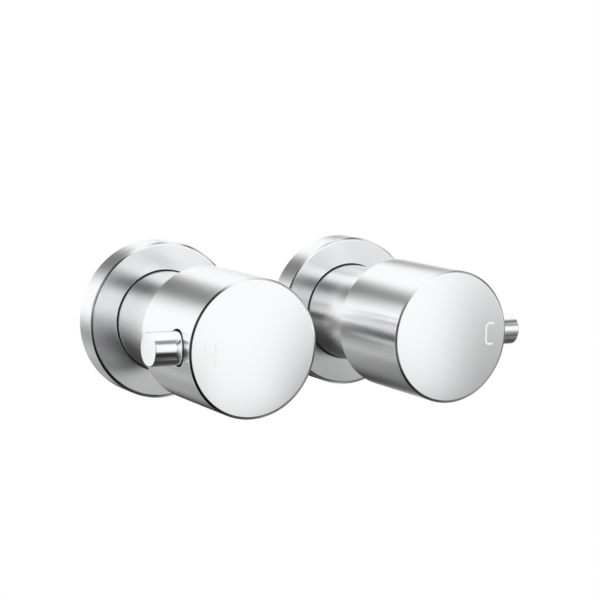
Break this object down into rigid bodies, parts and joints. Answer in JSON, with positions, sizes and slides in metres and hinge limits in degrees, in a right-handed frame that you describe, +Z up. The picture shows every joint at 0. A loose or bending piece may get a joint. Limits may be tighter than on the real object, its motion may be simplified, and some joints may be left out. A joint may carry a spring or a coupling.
{
  "type": "pair of wall taps",
  "caption": "Hot and cold quarter-turn wall taps: round flange, tubular neck and cylindrical knob with a side lever, on ceramic-disc headworks.",
  "frame": {"origin": "on the finished wall, midway between the two taps' axes", "axes": "+Z up, +Y into the wall, +X towards the cold tap; each tap's axis runs along Y"},
  "size_m": [0.1392, 0.1, 0.0546],
  "materials": {
    "chrome": "polished plate on brass",
    "brass": "machined",
    "ceramic": "lapped alumina ceramic",
    "seal_rubber": "moulded",
    "insert_plastic": "moulded"
  },
  "bodies": {
    "root": {"hot_flange": "chrome", "hot_sleeve": "chrome", "hot_headwork_body": "brass", "hot_fixed_disc": "ceramic", "hot_seat_seal": "seal_rubber", "cold_flange": "chrome", "cold_sleeve": "chrome", "cold_headwork_body": "brass", "cold_fixed_disc": "ceramic", "cold_seat_seal": "seal_rubber"},
    "hot_handle": {"hot_moving_disc": "ceramic", "hot_spindle": "brass", "hot_handle_insert": "insert_plastic", "hot_knob": "chrome", "hot_lever": "chrome"},
    "cold_handle": {"cold_moving_disc": "ceramic", "cold_spindle": "brass", "cold_handle_insert": "insert_plastic", "cold_knob": "chrome", "cold_lever": "chrome"}
  },
  "joints": [
    {"name": "hot_turn", "type": "hinge", "parent": "root", "child": "hot_handle", "pos_m": [-0.0377, -0.0576, 0], "axis": [0, 1, 0], "range_deg": [0, 90]},
    {"name": "cold_turn", "type": "hinge", "parent": "root", "child": "cold_handle", "pos_m": [0.0377, -0.0576, 0], "axis": [0, -1, 0], "range_deg": [0, 90]}
  ]
}
